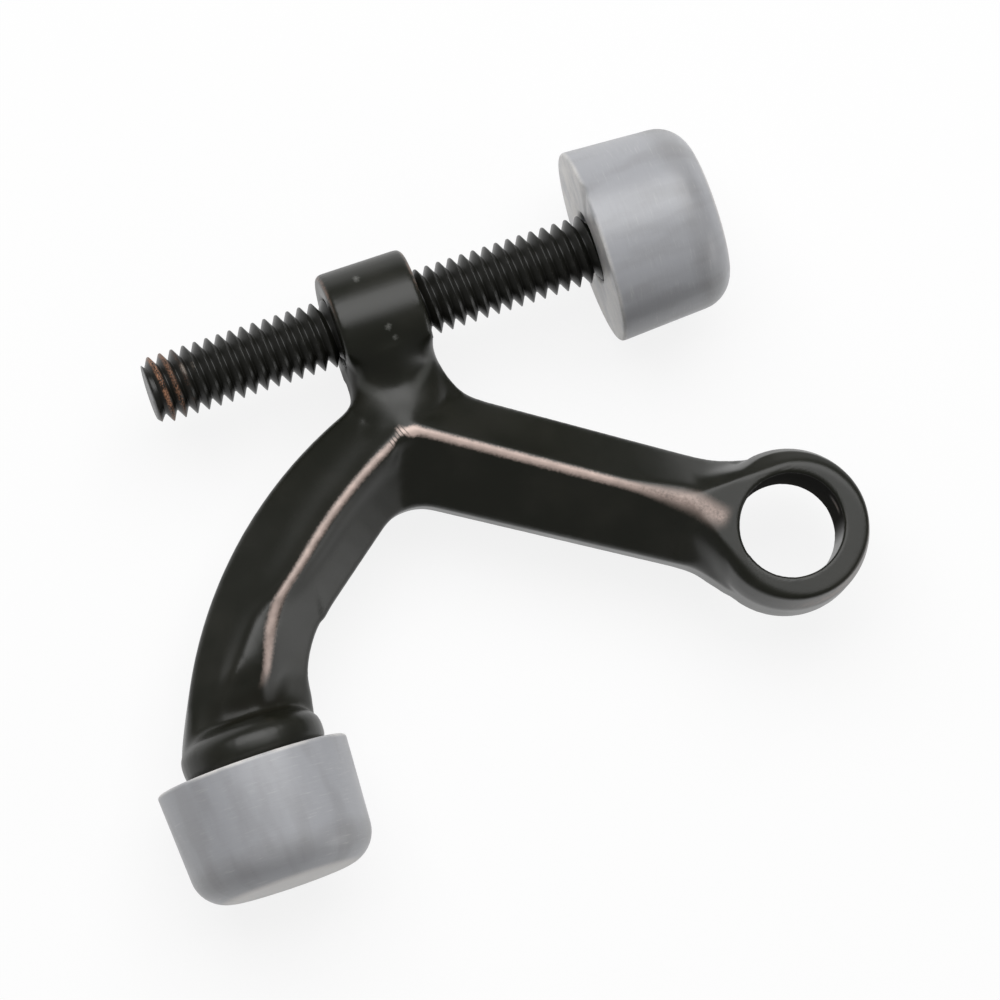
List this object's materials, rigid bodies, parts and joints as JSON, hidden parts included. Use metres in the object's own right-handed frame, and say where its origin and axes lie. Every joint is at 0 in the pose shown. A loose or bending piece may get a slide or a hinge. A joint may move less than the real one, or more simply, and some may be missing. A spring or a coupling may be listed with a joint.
{
  "type": "hinge pin door stop",
  "caption": "Hinge pin door stop with a ridged bent cast arm, a ring for the hinge pin, a rubber-capped foot and a threaded adjusting screw tipped with a rubber bumper.",
  "frame": {"origin": "middle of the hinge pin bore, half way through the ring", "axes": "+Z along the hinge pin and out of the ridged front, +X along the adjusting screw towards its bumper"},
  "size_m": [0.0882, 0.0701, 0.0228],
  "materials": {
    "bronze_finish": "satin oil-rubbed bronze over a die casting, worn to copper along the ridges",
    "black_screw": "black oxide steel, worn on a few crests",
    "grey_rubber": "satin moulded rubber"
  },
  "bodies": {
    "casting": {"cast_body": "bronze_finish", "foot_bumper": "grey_rubber"},
    "tip": {"screw_bumper": "grey_rubber"},
    "screw": {"adjusting_screw": "black_screw"}
  },
  "joints": [
    {"name": "screw_advance", "type": "slide", "parent": "casting", "child": "tip", "axis": [1, 0, 0], "range_m": [-0.0185, 0.0199]},
    {"name": "screw_turn", "type": "hinge", "parent": "tip", "child": "screw", "pos_m": [-0.0372, 0.0382, 0], "axis": [1, 0, 0], "range_deg": [-4680, 5040]}
  ],
  "couplings": [
    {"joint": "screw_advance", "follows": "screw_turn", "m_per_rad": 0.00022459}
  ]
}
